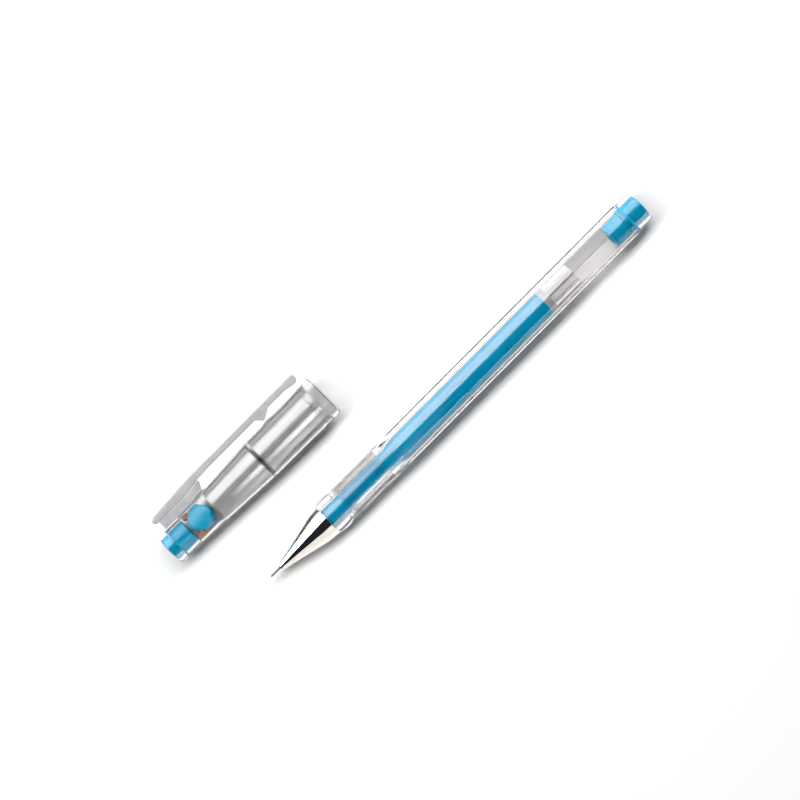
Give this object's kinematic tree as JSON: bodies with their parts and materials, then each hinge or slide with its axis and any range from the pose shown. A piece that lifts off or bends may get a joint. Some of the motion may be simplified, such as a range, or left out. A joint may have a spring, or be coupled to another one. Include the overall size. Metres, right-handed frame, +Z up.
{
  "type": "capped gel pen",
  "caption": "Uncapped needle-point gel pen lying beside its cap: clear hexagonal barrel with a ribbed round grip, chromed cone, coloured ink and plugs, clear cap with a pocket clip.",
  "frame": {"origin": "middle of the bottom face of the whole box, on the table", "axes": "+X along the pen from the needle to the tail, +Y from the pen towards the cap, +Z up from the table"},
  "size_m": [0.1442, 0.037, 0.012],
  "materials": {
    "clear_plastic": "polished clear polystyrene",
    "tube_plastic": "slightly cloudy clear polypropylene",
    "frosted_plastic": "frosted grey, translucent",
    "coloured_plastic": "glossy turquoise moulded plastic",
    "gel_ink": "wet turquoise gel",
    "follower_grease": "cloudy white grease",
    "chrome": "polished",
    "needle_steel": "drawn stainless tube",
    "ball_carbide": "ground carbide",
    "holder_plastic": "satin white moulded plastic",
    "silver_liner": "satin silver",
    "seal_rubber": "matt brown rubber"
  },
  "bodies": {
    "barrel": {"barrel": "clear_plastic"},
    "front_section": {"front_cone": "chrome", "needle_tube": "needle_steel", "tip_ball": "ball_carbide", "tip_holder": "holder_plastic", "ink_tube": "tube_plastic", "ink_column": "gel_ink"},
    "follower": {"ink_follower": "follower_grease"},
    "tail": {"tail_plug": "coloured_plastic", "tail_end_ring": "clear_plastic"},
    "cap": {"cap_shell": "clear_plastic", "crown_plug": "coloured_plastic", "crown_end_ring": "clear_plastic", "tip_seal": "seal_rubber", "inner_cap": "coloured_plastic", "rear_sleeve": "silver_liner", "front_sleeve": "silver_liner", "clip_root": "frosted_plastic"},
    "clip": {"clip_arm": "frosted_plastic"}
  },
  "joints": [
    {"name": "cap_slide", "type": "slide", "parent": "barrel", "child": "cap", "axis": [1, 0, 0], "range_m": [-0.044, 0.0038]},
    {"name": "clip_flex", "type": "hinge", "parent": "cap", "child": "clip", "pos_m": [-0.0549, 0.01847, 0.006], "axis": [0, 0, 1], "range_deg": [0, 4], "stiffness_Nm_per_rad": 0.4},
    {"name": "front_section_pull", "type": "slide", "parent": "barrel", "child": "front_section", "axis": [-1, 0, 0], "range_m": [0, 0.092]},
    {"name": "follower_creep", "type": "slide", "parent": "front_section", "child": "follower", "axis": [-1, 0, 0], "range_m": [0, 0.077], "deforming": ["ink_column"]},
    {"name": "tail_plug_pull", "type": "slide", "parent": "barrel", "child": "tail", "axis": [1, 0, 0], "range_m": [0, 0.009]}
  ]
}
